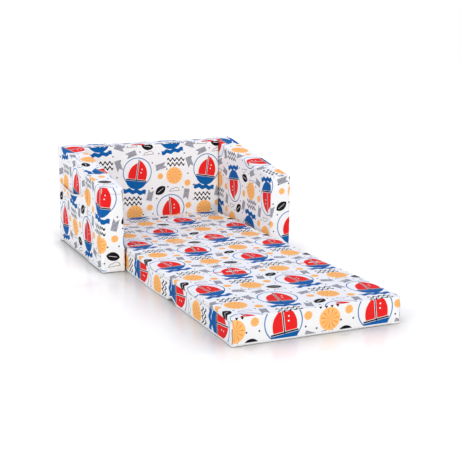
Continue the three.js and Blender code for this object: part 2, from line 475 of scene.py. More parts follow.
def noise(tree, point, scale, detail=NOISE_DETAIL):
    node = node_of(tree, "ShaderNodeTexNoise", {"Vector": point, "Scale": scale, "Detail": detail})
    return Value(tree, node.outputs[0])


def raised(tree, shader, layers):
    """Bumps laid one on another; layers are heights in metres."""
    inputs = {"Distance": METRE, "Strength": 1}
    for height in layers:
        inputs["Height"] = height
        inputs["Normal"] = node_of(tree, "ShaderNodeBump", inputs).outputs[0]
    tree.links.new(inputs["Normal"], shader.inputs["Normal"])


def seam_darkening(seam):
    """Painted shade in the crease of a seam, and the cloth a little darker for about a centimetre beside
    it.
    """
    painted_crease_shade = ((seam * (1 / SEAM_LINE) - 1) * -SEAM_SHADE).math("MAXIMUM", 0)
    beside_seam = (seam * (-1 / BESIDE_SEAM_REACH)).math("EXPONENT") * BESIDE_SEAM_DARKENING
    return (painted_crease_shade + beside_seam) * -1 + 1


def printed_cloth():
    material, tree, shader = fresh_material("printed_cloth", CLOTH_FINISH)
    point = node_of(tree, "ShaderNodeUVMap", uv_map="print").outputs[0]
    place = own_place(tree)
    found, pith = print_inks(tree, point)
    colour = CLOTH_WHITE
    for ink, ink_colour in INK_COLOURS.items():
        laid = mixed(tree, pith, ink_colour, PITH) if ink == "orange" else ink_colour
        colour = mixed(tree, found[ink].covered(), colour, laid)
    tone = varied(noise(tree, place, UNEVEN_SCALE), CLOTH_VARIES_SHARE)
    mottle = varied(noise(tree, point, MOTTLE_SCALE), CLOTH_VARIES_SHARE)
    seam = Value(tree, node_of(tree, "ShaderNodeAttribute", attribute_name="seam").outputs["Fac"])
    # Colour darkened by random tone and mottle, by painted shade in the seams' creases, and by a slight
    # darkening beside them
    coloured(tree, shader, colour, tone * mottle * seam_darkening(seam))
    creases = noise(tree, place, CREASE_SCALE, CREASE_DETAIL) * CREASE_DEPTH
    near_seam = (seam * (-1 / PUCKER_REACH)).math("EXPONENT")
    puckers = noise(tree, place, PUCKER_SCALE, PUCKER_DETAIL) * near_seam * PUCKER_DEPTH
    across, up, _ = coordinates(tree, point)
    threads = across.wave(THREAD) * up.wave(THREAD) * WEAVE_DEPTH
    raised(tree, shader, [creases, puckers, threads])
    return material


# Plain cloths: the base cloth, and the binding of hinges and hem, with their colour, thread and relief
PLAIN_CLOTHS = {
    "base_cloth": (linear(236, 236, 240), 0.0022, 0.0002),
    "binding": (linear(232, 232, 236), 0.0014, 0.00015),
}
PLAIN_MOTTLE_SHARE = 0.10
PLAIN_VARIES_SHARE = 0.08
PLAIN_FINISH = {"Roughness": 0.85}


def plain_cloth(name):
    """Plain woven or nonwoven cloth, by the object's own coordinates."""
    colour, thread, relief = PLAIN_CLOTHS[name]
    material, tree, shader = fresh_material(name, PLAIN_FINISH)
    place = own_place(tree)
    mottle = varied(noise(tree, place, MOTTLE_SCALE), PLAIN_MOTTLE_SHARE)
    tone = varied(noise(tree, place, UNEVEN_SCALE), PLAIN_VARIES_SHARE)
    coloured(tree, shader, colour[:3], mottle * tone)
    x, y, z = coordinates(tree, place)
    threads = (x + z).wave(thread) * (y + z).wave(thread) * relief
    raised(tree, shader, [threads])
    return material


# Zips: a woven tape with a nylon coil along its middle, painted shade between the coil's turns, and a
# stitched line on each side
COIL_HALF = 0.0019
COIL_PITCH = 0.0024
COIL_RISE = 0.0005
STITCH_AWAY = 0.0035
STITCH_HALF = 0.0003
STITCH_PITCH = 0.0042
TAPE_COLOUR = linear(226, 226, 231)
COIL_COLOUR = linear(241, 241, 243)
COIL_GAP_SHADE = linear(168, 169, 176)
STITCH_COLOUR = linear(204, 205, 212)
TAPE_FINISH = {"Roughness": 0.7}


def zip_tape():
    material, tree, shader = fresh_material("zip_tape", TAPE_FINISH)
    place = own_place(tree)
    x, y, z = coordinates(tree, place)
    along = x + y
    away = (z - ZIP_HEIGHT).size()
    coil = (away - COIL_HALF).covered()
    turns = along.wave(COIL_PITCH)
    on_top = along.wave(STITCH_PITCH).math("GREATER_THAN", 0)
    stitches = outline(away - STITCH_AWAY, STITCH_HALF).covered() * on_top
    tape = mixed(tree, stitches, TAPE_COLOUR, STITCH_COLOUR)
    # Painted shade: the coil's colour goes grey between its turns, in step with the coil's bump
    wound = mixed(tree, held(turns.math("MULTIPLY_ADD", 0.5, 0.5)), COIL_GAP_SHADE, COIL_COLOUR)
    colour = mixed(tree, coil, tape, wound)
    coloured(tree, shader, colour, varied(noise(tree, place, MOTTLE_SCALE), PLAIN_MOTTLE_SHARE))
    threads = along.wave(THREAD) * z.wave(THREAD) * WEAVE_DEPTH
    raised(tree, shader, [threads, coil * turns * COIL_RISE])
    return material


# Zip sliders: pale paint, a little uneven, rubbed in fine scratches
PAINT_COLOUR = linear(200, 202, 207)
RUBBED_COLOUR = linear(150, 152, 158)
PAINT_SCALE = 900.0
SCRATCH_SCALE = 420.0
SCRATCH_DETAIL = 4.0
SCRATCH_FROM_SHARE = 0.62
PAINT_DEPTH = 0.00004
PAINT_VARIES_SHARE = 0.12
PAINT_FINISH = {"Roughness": 0.28}
GRAIN_ROUGHNESS = 0.2


def slider_paint():
    material, tree, shader = fresh_material("zip_metal", PAINT_FINISH)
    place = own_place(tree)
    grain = noise(tree, place, PAINT_SCALE)
    scratches = noise(tree, place, SCRATCH_SCALE, SCRATCH_DETAIL)
    scratches = scratches.math("GREATER_THAN", SCRATCH_FROM_SHARE)
    colour = mixed(tree, scratches, PAINT_COLOUR, RUBBED_COLOUR)
    coloured(tree, shader, colour, varied(grain, PAINT_VARIES_SHARE))
    roughness = grain * GRAIN_ROUGHNESS + PAINT_FINISH["Roughness"]
    tree.links.new(roughness.socket, shader.inputs["Roughness"])
    raised(tree, shader, [grain * PAINT_DEPTH])
    return material


# Meshes
def smooth_step(share):
    share = np.clip(share, 0, 1)
    return share * share * (3 - 2 * share)


def mesh_object(name, points, faces, material):
    mesh = bpy.data.meshes.new(name)
    mesh.from_pydata(np.asarray(points).tolist(), [], np.asarray(faces).tolist(), shade_flat=False)
    mesh.update()
    mesh.materials.append(material)
    obj = bpy.data.objects.new(name, mesh)
    bpy.context.scene.collection.objects.link(obj)
    return obj


def vectors_of(items, key):
    flat = np.zeros(len(items) * 3)
    items.foreach_get(key, flat)
    return flat.reshape(-1, 3)


def points_of(obj):
    return vectors_of(obj.data.vertices, "co")


def normals_of(obj):
    return vectors_of(obj.data.vertex_normals, "vector")


def move_points(obj, points):
    obj.data.vertices.foreach_set("co", points.ravel())
    obj.data.update()


def put_attribute(obj, name, values):
    layer = obj.data.attributes.new(name, "FLOAT", "POINT")
    layer.data.foreach_set("value", values.astype(np.float32))


def attribute_of(obj, name):
    values = np.zeros(len(obj.data.vertices), np.float32)
    obj.data.attributes[name].data.foreach_get("value", values)
    return values


def put_print(obj, corners_uv):
    layer = obj.data.uv_layers.new(name="print")
    layer.uv.foreach_set("vector", corners_uv.astype(np.float32).ravel())


def modified(obj, kind, **settings):
    """Applies one modifier to the mesh."""
    modifier = obj.modifiers.new(kind, kind)
    for key, value in settings.items():
        setattr(modifier, key, value)
    bpy.context.view_layer.update()
    graph = bpy.context.evaluated_depsgraph_get()
    evaluated = obj.evaluated_get(graph)
    mesh = bpy.data.meshes.new_from_object(evaluated, preserve_all_data_layers=True, depsgraph=graph)
    obj.modifiers.clear()
    obj.data = mesh


# Blocks: a box's surface as a lattice of quads, rounded and then shaped
SIDES = [(axis, end) for axis in range(3) for end in (0, 1)]
LEFT, RIGHT, FRONT, REAR, BOTTOM, TOP = range(6)
ROUND_SHARES = np.tan(np.linspace(0, math.pi / 4, ROUND_STEPS + 1))


def stations(low, high, round_low, round_high, stops):
    """Places of the lattice lines along one axis, closer together in the round edges."""
    inner_low = low + round_low
    inner_high = high - round_high
    places = list(inner_low - round_low * ROUND_SHARES[::-1])
    inside = [stop + shift for stop in stops for shift in (-SEAM_NEAR, 0, SEAM_NEAR)]
    marks = [inner_low, *sorted(stop for stop in inside if inner_low < stop < inner_high), inner_high]
    for start, end in zip(marks, marks[1:]):
        count = max(1, round((end - start) / CELL))
        places += list(np.linspace(start, end, count + 1)[1:])
    places += list(inner_high + round_high * ROUND_SHARES[1:])
    return np.array(places)


def block_lattice(lines):
    """Points on a box's surface, its quads, and the side that each quad is on."""
    counts = [len(line) for line in lines]
    quads = []
    sides = []
    for axis, end in SIDES:
        b = (axis + 1) % 3
        c = (axis + 2) % 3
        i, j = np.meshgrid(np.arange(counts[b] - 1), np.arange(counts[c] - 1), indexing="ij")
        corners = np.zeros((i.size, 4, 3), int)
        corners[:, :, axis] = end * (counts[axis] - 1)
        corners[:, :, b] = i.reshape(-1, 1) + np.array([0, 1, 1, 0])
        corners[:, :, c] = j.reshape(-1, 1) + np.array([0, 0, 1, 1])
        quads.append(corners if end else corners[:, ::-1])
        sides.append(np.full(i.size, 2 * axis + end))
    keys, index = np.unique(np.concatenate(quads).reshape(-1, 3), axis=0, return_inverse=True)
    points = np.stack([line[key] for line, key in zip(lines, keys.T)], 1)
    return points, index.reshape(-1, 4), np.concatenate(sides)


def rounded(points, low, high, round_low, round_high):
    """Box points moved on to round edges and corners."""
    radius = np.where(points < (low + high) / 2, round_low, round_high)
    inner = np.clip(points, low + round_low, high - round_high)
    rest = (points - inner) / radius
    return inner + radius * rest / np.linalg.norm(rest, axis=1, keepdims=True)


def slope_height(y, rear, height):
    """The arm's top: flat at the rear, then a straight slope with a soft break."""
    ahead = rear - TOP_FLAT_DEPTH - y
    softened = (ahead + np.hypot(ahead, SLOPE_BREAK)) / 2
    return height - math.tan(slope_angle()) * softened


def notch_rise(distance):
    """How far the underside is cut away at that distance from a fold end."""
    share = np.clip(distance / NOTCH_LENGTH, 0, 1)
    return NOTCH_HEIGHT * (1 - share) ** 2 * (1 + 2 * share)


class Block:
    """One upholstered block, from its cover's box.

    Every edge starts a little outside the box, because the swelling pulls the edges in.
    grow holds the free sides: how far each starts proud of the box besides, and how far it may then swell.
    seams are the sewn edges, as pairs of sides, and bands are sewn lines on a side: side, axis, place.
    joint says where the block meets a neighbour, and how little its edges are rounded there.
    """

    def __init__(self, name, body, grow, round_low, round_high, shape, prints, seams, bands, stops,
                 joint=None):
        self.name = name
        self.body = body
        low, high = (np.array(corner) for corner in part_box(f"{name}_cover"))
        self.box = (low.copy(), high.copy())
        self.grow = grow
        self.round_low = round_low
        self.round_high = round_high
        self.shape = shape
        self.prints = prints
        self.seams = seams
        self.bands = bands
        self.joint = joint
        starts = [grow.get(side, (0, 0))[0] + PULL_IN for side in range(6)]
        low[2] = BASE_TOP
        self.low = low - np.array(starts[0::2])
        self.high = high + np.array(starts[1::2])
        spans = zip(self.low, self.high, self.round_low, self.round_high, stops)
        self.lines = [stations(*span) for span in spans]
        self.lines[2] = np.sort(np.append(self.lines[2], TRAY_RISE))

    def build(self, material):
        lattice, quads, sides = block_lattice(self.lines)
        points = rounded(lattice, self.low, self.high, self.round_low, self.round_high)
        if self.joint:
            near_joint, joint_low, joint_high = self.joint
            joined = rounded(lattice, self.low, self.high, joint_low, joint_high)
            points += (joined - points) * near_joint(lattice)[:, None]
        if self.shape:
            points = self.shape(points, self)
        obj = mesh_object(f"{self.name}_cushion", points, quads, material)
        put_print(obj, self.print_corners(points, quads, sides))
        put_attribute(obj, "rise", lattice[:, 2])
        put_attribute(obj, "seam", self.seam_distance(lattice))
        self.start = points
        self.obj = obj

    def print_corners(self, points, quads, sides):
        corners = points[quads]
        uv = np.zeros((len(quads), 4, 2))
        for side in range(6):
            on_side = sides == side
            uv[on_side] = self.prints(side, corners[on_side], self)
        return uv

    def seam_distance(self, lattice):
        """How far each point is from the nearest sewn edge or line along the cloth."""
        away = [np.abs(lattice[:, axis] - (self.low, self.high)[end][axis]) for axis, end in SIDES]
        edges = [np.hypot(away[one], away[other]) for one, other in self.seams]
        lines = [np.hypot(away[side], lattice[:, axis] - place) for side, axis, place in self.bands]
        return np.min(edges + lines, axis=0)


# How the print lies on each side: the print's across and up axes
def flat_print(corners, across, up, shift=(0, 0)):
    return np.stack([corners @ np.array(axis, float) + move for axis, move in zip((across, up), shift)], -1)


UPRIGHT = ((1, 0, 0), (0, 0, 1))
BOXING_SHIFT = (0.200, 0.059)
FLANK_SHIFT = 0.125


def either_print(above, first, second):
    """The first print on the faces marked above, the second on the others."""
    return np.where(above[:, None, None], first, second)


def panel_print(side, corners, block):
    """Upright on the top and the front; turned a quarter on the long sides, under the top's edge."""
    low, high = block.box
    if side in (LEFT, RIGHT):
        outward, edge = (-1, low[0]) if side == LEFT else (1, high[0])
        turned_down = flat_print(corners, (0, 0, -outward), (0, 1, 0), (edge + outward * high[2], 0))
        flank = flat_print(corners, (0, 0, outward), (0, -1, 0), (-outward * FLANK_SHIFT, 0))
        return either_print(corners[:, :, 2].mean(1) > high[2] - SIDE_BAND, turned_down, flank)
    if side in (FRONT, REAR):
        return flat_print(corners, *UPRIGHT, BOXING_SHIFT)
    return flat_print(corners, (1, 0, 0), (0, 1, 0))


def slope_angle():
    """How steeply the arms' tops fall towards the front."""
    low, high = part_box("left_arm_cover")
    return math.atan((high[2] - ARM_FRONT_HEIGHT) / (high[1] - TOP_FLAT_DEPTH - low[1]))


def over_arm(corners, side_print, edge_x):
    """The print of an arm's left side carried on over the sloping top."""
    fall = slope_angle()
    inward = corners[:, :, 0] - edge_x
    unrolled = corners.copy()
    unrolled[:, :, 0] = edge_x
    unrolled[:, :, 1] -= inward * math.sin(fall)
    unrolled[:, :, 2] += inward * math.cos(fall)
    return flat_print(unrolled, *side_print)


def left_arm_print(side, corners, block):
    """The front's cloth wraps round to the outer upright seam, and as far over the top."""
    low = block.box[0]
    ahead = corners[:, :, 1].mean(1) < low[1] + POCKET_FRONT_STRIP
    outside = ((0, -1, 0), (0, 0, 1))
    if side == LEFT:
        wrapped = flat_print(corners, *outside, (low[0] + low[1], 0))
        return either_print(ahead, wrapped, flat_print(corners, *outside))
    if side == TOP:
        stretch = 1 / math.cos(slope_angle())
        rise = ARM_FRONT_HEIGHT - low[1] * stretch
        over_front = flat_print(corners, (1, 0, 0), (0, stretch, 0), (0, rise))
        return either_print(ahead, over_front, over_arm(corners, outside, low[0]))
    if side == RIGHT:
        return flat_print(corners, (0, -1, 0), (0, 0, -1))
    return flat_print(corners, *UPRIGHT)


def right_arm_print(side, corners, block):
    """Upright outside and in front; the inside's cloth, upside down, carries on over the top."""
    inside = ((0, 1, 0), (0, 0, -1))
    if side == LEFT:
        return flat_print(corners, *inside)
    if side == TOP:
        return over_arm(corners, inside, block.box[0][0])
    if side == RIGHT:
        return flat_print(corners, (0, 1, 0), (0, 0, 1))
    return flat_print(corners, *UPRIGHT)


def back_print(side, corners, block):
    """Upright in front and behind."""
    if side == REAR:
        return flat_print(corners, (-1, 0, 0), (0, 0, 1))
    if side == TOP:
        return flat_print(corners, (1, 0, 0), (0, 1, 0), (0, block.box[1][2]))
    return flat_print(corners, *UPRIGHT)


def arm_shape(points, block):
    """The top lowered along the slope; the left arm's inner side leans away from the seat at the front."""
    low, high = block.box
    top = slope_height(points[:, 1], high[1], block.high[2])
    share = (points[:, 2] - BASE_TOP) / (block.high[2] - BASE_TOP)
    shaped = points.copy()
    shaped[:, 2] = BASE_TOP + share * (top - BASE_TOP)
    if block.name == "left_arm":
        inner = (points[:, 0] - low[0]) / (high[0] - low[0])
        upward = smooth_step((shaped[:, 2] - LEAN_START) / (ARM_FRONT_HEIGHT - LEAN_START))
        forward = smooth_step((low[1] + LEAN_REACH - points[:, 1]) / LEAN_REACH)
        shaped[:, 0] -= LEAN * inner * upward * forward
    return shaped


def panel_shape(points, block):
    """The underside raised at the fold ends."""
    low, high = block.box
    rise = np.zeros(len(points))
    if block.name != "front_panel":
        rise = np.maximum(rise, notch_rise(points[:, 1] - low[1]))
    if block.name != "seat_panel":
        rise = np.maximum(rise, notch_rise(high[1] - points[:, 1]))
    share = (block.high[2] - points[:, 2]) / (block.high[2] - BASE_TOP)
    shaped = points.copy()
    shaped[:, 2] += rise * share
    return shaped


def beside_back(y):
    """0 in front of the back and 1 beside it."""
    return smooth_step((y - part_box("back_cover")[0][1]) / JOINT_EASE + 1)


def arm_block(name, outer, inner, prints):
    """An arm; beside the back its inner side is flat and nearly square, so that the two tops meet."""
    low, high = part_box(f"{name}_cover")
    top_grow = RIGHT_ARM_TOP_GROW if outer == RIGHT else SHELL_TOP_GROW
    grow = {outer: SIDE_GROW, inner: INNER_GROW, FRONT: END_GROW, REAR: END_GROW, TOP: top_grow}
    round_low = [SHELL_ROUND, SHELL_ROUND, FOOT_ROUND]
    round_high = [SHELL_ROUND] * 3
    joint_low = round_low.copy()
    joint_high = round_high.copy()
    (joint_high if inner == RIGHT else joint_low)[0] = JOINT_ROUND
    front_seam, rear_seam = pocket_ends(low, high)
    seams = [(FRONT, inner), (REAR, outer), (REAR, inner), (REAR, TOP)]
    bands = [(outer, 1, front_seam), (TOP, 1, front_seam)]
    heights = ()
    if outer == LEFT:
        lattice_share = (high[2] - BASE_TOP) / (ARM_FRONT_HEIGHT - BASE_TOP)
        band_height = high[2] - ARM_BAND * lattice_share
        bands += [(FRONT, 2, band_height), (outer, 1, rear_seam)]
        heights = (band_height,)
    else:
        seams += [(FRONT, TOP), (FRONT, outer)]
    return Block(name, "sofa_base", grow, round_low, round_high, arm_shape, prints, seams, bands,
                 ((), (front_seam, rear_seam), heights),
                 (lambda lattice: beside_back(lattice[:, 1]), joint_low, joint_high))


def back_block():
    grow = {FRONT: FACE_GROW, REAR: END_GROW, TOP: SHELL_TOP_GROW}
    round_low = (JOINT_ROUND, SHELL_ROUND, FOOT_ROUND)
    round_high = (JOINT_ROUND, SHELL_ROUND, SHELL_ROUND)
    seams = [(FRONT, TOP), (REAR, TOP)]
    bands = [(REAR, 2, ZIP_HEIGHT)]
    low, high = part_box("back_cover")
    top_start = high[2] - JOINT_END
    sides = (low[0] + JOINT_LINE, high[0] - JOINT_LINE)
    return Block("back", "sofa_base", grow, round_low, round_high, None, back_print, seams, bands,
                 (sides, (), (ZIP_HEIGHT, top_start)),
                 (lambda lattice: smooth_step((top_start - lattice[:, 2]) / JOINT_EASE),
                  (JOINT_ROUND, JOINT_ROUND, FOOT_ROUND), (JOINT_ROUND, SHELL_ROUND, SHELL_ROUND)))


def panel_block(name, body):
    grow = {LEFT: SIDE_GROW, RIGHT: SIDE_GROW, TOP: PANEL_TOP_GROW}
    round_low = [PANEL_ROUND, FOLD_ROUND, FOOT_ROUND]
    seams = [(side, end) for side in (LEFT, RIGHT) for end in (FRONT, REAR)]
    if name == "middle_panel":
        grow[FRONT] = FOLD_GROW
    if name == "front_panel":
        grow[REAR] = FOLD_GROW
        grow[FRONT] = END_GROW
        round_low[1] = PANEL_ROUND
        seams.append((FRONT, TOP))
    band_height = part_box(f"{name}_cover")[1][2] - SIDE_BAND
    bands = [(LEFT, 2, band_height), (RIGHT, 2, band_height)]
    heights = [band_height]
    if name != "seat_panel":
        bands.append((RIGHT, 2, ZIP_HEIGHT))
        heights.append(ZIP_HEIGHT)
    round_high = (PANEL_ROUND, FOLD_ROUND, PANEL_ROUND)
    return Block(name, body, grow, round_low, round_high, panel_shape, panel_print, seams, bands,
                 ((), (), heights))


# Simulation: the covers swell a little under the foam's pressure
def swell(blocks):
    scene = bpy.context.scene
    for block in blocks:
        cloth = block.obj.modifiers.new("swell", "CLOTH")
        cloth.settings.quality = CLOTH_QUALITY
        cloth.settings.mass = CLOTH_MASS
        cloth.settings.use_pressure = True
        cloth.settings.uniform_pressure_force = CLOTH_PRESSURE
        cloth.settings.effector_weights.gravity = 0
        cloth.point_cache.frame_start = 1
        cloth.point_cache.frame_end = CLOTH_FRAMES
    for number in range(1, CLOTH_FRAMES + 1):
        scene.frame_set(number)
    depsgraph = bpy.context.evaluated_depsgraph_get()
    for block in blocks:
        evaluated = block.obj.evaluated_get(depsgraph)
        block.swollen = vectors_of(evaluated.to_mesh().vertices, "co")
        evaluated.to_mesh_clear()
    scene.frame_set(1)
    for block in blocks:
        block.obj.modifiers.clear()
        move = block.swollen - block.start
        far = np.linalg.norm(move, axis=1, keepdims=True)
        move *= np.minimum(1, BULGE / np.maximum(far, BULGE / CLOTH_FRAMES))
        move_points(block.obj, block.start + move)


def pocket_ends(low, high):
    """Where the side pocket is sewn on its arm, at the front and at the rear."""
    return low[1] + POCKET_FRONT_STRIP, high[1] - POCKET_REAR_STRIP


def eased(distance, flat, ease):
    """0 within flat of a line, and 1 beyond ease from there."""
    return smooth_step((np.abs(distance) - flat) / ease)


def from_zip(block, points):
    """How far each point is from the zip's tape, across the side that holds it; below zero on the tape."""
    low, high = (np.array(corner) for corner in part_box(f"{block.name}_zip_tape"))
    away = np.abs(points - (low + high) / 2) - (high - low) / 2
    return np.delete(away, ZIP_AXES[block.name], axis=1).max(1)


def flank_sag(block, points):
    """How far the middle panel's left side stands out."""
    low, high = block.box
    along = smooth_step((high[1] - points[:, 1]) / FLANK_EASE_REAR)
    along *= smooth_step((points[:, 1] - low[1]) / FLANK_EASE_FRONT)
    return along * (FLANK_FOOT + (FLANK_TOP - FLANK_FOOT) * np.clip(points[:, 2] / high[2], 0, 1))


def proud_limits(block, points):
    """How far each point may stand out of the box, to its low and its high side."""
    low = np.zeros(points.shape)
    high = np.zeros(points.shape)
    for side, (start, swell_more) in block.grow.items():
        (high if side % 2 else low)[:, side // 2] = start + swell_more
    z = points[:, 2]
    if block.name in ZIP_AXES:
        axis = ZIP_AXES[block.name]
        high[:, axis] *= eased(z - ZIP_HEIGHT, ZIP_FLAT, HELD_EASE)
        high[:, axis] -= ZIP_SINK * (1 - smooth_step(from_zip(block, points) / ZIP_LIP + 1))
    if block.name == "middle_panel":
        low[:, 0] = np.maximum(low[:, 0], flank_sag(block, points))
    if "arm" in block.name:
        inner = high if block.name == "left_arm" else low
        inner[:, 0] *= 1 - beside_back(points[:, 1])
    if block.name == "left_arm":
        front_y, rear_y = pocket_ends(*block.box)
        low[:, 0] *= eased(points[:, 1] - (front_y + rear_y) / 2, (rear_y - front_y) / 2, HELD_EASE)
    if block.name == "back":
        seat_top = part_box("seat_panel_cover")[1][2]
        low[:, 1] *= eased(np.maximum(z - seat_top, 0), BULGE, SEAT_EASE)
    return low, high


def pressed(values, limit, width):
    """Values held under a limit, which those within the width ease up to."""
    over = (values - limit + width) / np.where(width > 0, width, 1)
    return np.where(over > 0, limit - width + width * np.tanh(over), values)


def kept_in(block, points):
    """The held sides stay in their planes, and nothing goes under the base cloth."""
    low, high = block.box
    low = np.array([low[0], low[1], BASE_TOP])
    proud_low, proud_high = proud_limits(block, points)
    points = pressed(points, high + proud_high, np.maximum(proud_high, 0) * SOFT_SHARE)
    return -pressed(-points, proud_low - low, proud_low * SOFT_SHARE)


def uneven(points, length, seed):
    """A smooth uneven height, mostly within 1 of zero, made of a few waves in fixed directions."""
    generator = np.random.default_rng(seed)
    total = np.zeros(len(points))
    for _ in range(WAVE_COUNT):
        direction = generator.normal(size=3)
        direction /= np.linalg.norm(direction)
        wavelength = length * generator.uniform(*WAVE_SHARES)
        phase = generator.uniform(0, 2 * math.pi)
        total += np.sin(points @ direction * (2 * math.pi / wavelength) + phase)
    return total / math.sqrt(WAVE_COUNT * 2)


def detail_cloth(block, seed):
    """Grooves at the seams, ripples beside them, and a broad unevenness."""
    obj = block.obj
    points = kept_in(block, points_of(obj))
    move_points(obj, points)
    normals = normals_of(obj)
    seam = attribute_of(obj, "seam")
    groove = -SEAM_DEPTH * np.exp(-((seam / SEAM_WIDTH) ** 2))
    ripple = RIPPLE_DEPTH * np.exp(-seam / RIPPLE_REACH) * uneven(points, RIPPLE_LENGTH, seed)
    broad = BROAD_DEPTH * (uneven(points, BROAD_LENGTH, seed + 1) - 1)
    raised_cloth = groove + ripple + broad
    if block.name in ZIP_AXES:
        raised_cloth *= smooth_step(from_zip(block, points) / HELD_EASE)
    moved = points + normals * raised_cloth[:, None]
    if block.name in ("middle_panel", "front_panel"):
        moved[:, 2] -= fold_dip(block, points)
    if block.name == "middle_panel":
        left = smooth_step((block.box[0][0] + FLANK_REACH - points[:, 0]) / FLANK_REACH)
        moved[:, 0] -= left * (flank_sag(block, points) - SIDE_GROW[0])
    move_points(obj, kept_in(block, moved))


def fold_dip(block, points):
    """The top's corners at the lower fold sink a little."""
    low, high = block.box
    dip = np.zeros(len(points))
    end = low[1] if block.name == "middle_panel" else high[1]
    for side in (low[0], high[0]):
        away = ((points[:, 1] - end) ** 2 + (points[:, 0] - side) ** 2) / CORNER_DIP_REACH ** 2
        dip += CORNER_DIP * np.exp(-away)
    return dip * np.clip(points[:, 2] / high[2], 0, 1) ** 2


def base_tray(block, material):
    """The plain cloth underneath, which turns up round the block's foot."""
    rise = attribute_of(block.obj, "rise")
    faces = np.array([polygon.vertices for polygon in block.obj.data.polygons])
    faces = faces[rise[faces].max(1) <= TRAY_RISE + CLOTH_GAP]
    used, index = np.unique(faces, return_inverse=True)
    lifted = points_of(block.obj)[used] + normals_of(block.obj)[used] * CLOTH_GAP
    obj = mesh_object(f"{block.name}_base", lifted, index.reshape(faces.shape), material)
    modified(obj, "SOLIDIFY", thickness=TRAY_THICKNESS, offset=1)
    thick = points_of(obj)
    thick[:, 2] = np.maximum(thick[:, 2], FLOOR_CLEARANCE)
    move_points(obj, thick)
    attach(obj, block.body)
    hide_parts(f"{block.name}_base_cloth")


# Side pocket
def mouth_height(share):
    """Height of the pocket's mouth from its front end (0) to its rear end (1)."""
    curl = (MOUTH_FRONT - MOUTH_REAR) * (1 - share) ** MOUTH_CURL
    return MOUTH_REAR + curl - MOUTH_SAG * np.sin(math.pi * share)


def pocket_surface(share, rise, face_x, front_y, rear_y):
    """Points of the pocket's inner face."""
    slack = np.sin(math.pi * share)
    fold = POCKET_FOLD_SHARE * np.sin(math.pi * POCKET_FOLDS * share + POCKET_FOLD_START) * slack
    off = POCKET_STANDOFF + POCKET_BULGE * slack * rise ** 2 * (1 + fold)
    y = front_y + (rear_y - front_y) * share
    z = POCKET_FOOT + (mouth_height(share) - POCKET_FOOT) * rise
    return np.stack([face_x - off, y, z], -1)


def grid_faces(columns, rows):
    """Quads of a grid of points, columns + 1 by rows + 1."""
    i, j = np.meshgrid(np.arange(columns), np.arange(rows), indexing="ij")
    first = (i * (rows + 1) + j).ravel()
    return np.stack([first, first + 1, first + rows + 2, first + rows + 1], 1)


def side_pocket(block, material, hem_material):
    low = block.box[0]
    front_y, rear_y = pocket_ends(*block.box)
    share = np.repeat(np.linspace(0, 1, POCKET_COLUMNS + 1), POCKET_ROWS + 1)
    rise = np.tile(np.linspace(0, 1, POCKET_ROWS + 1), POCKET_COLUMNS + 1)
    points = pocket_surface(share, rise, low[0], front_y, rear_y)
    faces = grid_faces(POCKET_COLUMNS, POCKET_ROWS)
    obj = mesh_object("side_pocket_cloth", points, faces, material)
    away = np.stack([points[:, 1] - front_y, rear_y - points[:, 1], points[:, 2] - POCKET_FOOT])
    put_attribute(obj, "seam", away.min(0))
    put_print(obj, flat_print(points[faces], (0, -1, 0), (0, 0, 1)))
    modified(obj, "SOLIDIFY", thickness=CLOTH_THICKNESS, offset=1)
    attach(obj, "sofa_base")
    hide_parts("side_pocket")
    hem = pocket_hem(low[0], front_y, rear_y, hem_material)
    width = rear_y - front_y


def pocket_hem(face_x, front_y, rear_y, material):
    """The turned-over mouth."""
    points = []
    for share in np.linspace(0, 1, POCKET_COLUMNS + 1):
        height = mouth_height(share)
        for row in range(HEM_ROWS + 1):
            z = height - HEM_WIDTH * (1 - row / HEM_ROWS)
            rise = (z - POCKET_FOOT) / (height - POCKET_FOOT)
            x, y, _ = pocket_surface(share, rise, face_x, front_y, rear_y)
            points.append((x - CLOTH_THICKNESS - CLOTH_GAP, y, z))
    hem = mesh_object("side_pocket_turning", points, grid_faces(POCKET_COLUMNS, HEM_ROWS), material)
    modified(hem, "SOLIDIFY", thickness=CLOTH_THICKNESS, offset=1)
    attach(hem, "sofa_base")
    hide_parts("side_pocket_hem")
    return hem


# Stage, light and camera
FLOOR_HALF = 12.0
CAMERA_PLACE = (-1.42371, -3.67269, 0.95931)
CAMERA_YAW = 24.528
CAMERA_PITCH = 12.628
CAMERA_ROLL = 0.381
CAMERA_LENS = 76.362
SENSOR = 36.0


def make_camera():
    yaw, pitch, roll = (math.radians(angle) for angle in (CAMERA_YAW, CAMERA_PITCH, CAMERA_ROLL))
    data = bpy.data.cameras.new("camera")
    data.lens = CAMERA_LENS
    data.sensor_width = SENSOR
    camera = bpy.data.objects.new("camera", data)
    bpy.context.scene.collection.objects.link(camera)
    heading = Matrix.Rotation(-yaw, 4, "Z") @ Matrix.Rotation(math.pi / 2 - pitch, 4, "X")
    camera.matrix_world = Matrix.Translation(CAMERA_PLACE) @ heading @ Matrix.Rotation(roll, 4, "Z")
    bpy.context.scene.camera = camera


def seen_directly(tree):
    """1 for rays from the camera and for those seen in or through a shiny surface."""
    path = node_of(tree, "ShaderNodeLightPath")
    kinds = ("Is Camera Ray", "Is Glossy Ray", "Is Transmission Ray")
    camera, glossy, transmission = (Value(tree, path.outputs[kind]) for kind in kinds)
    return camera.math("MAXIMUM", glossy).math("MAXIMUM", transmission)


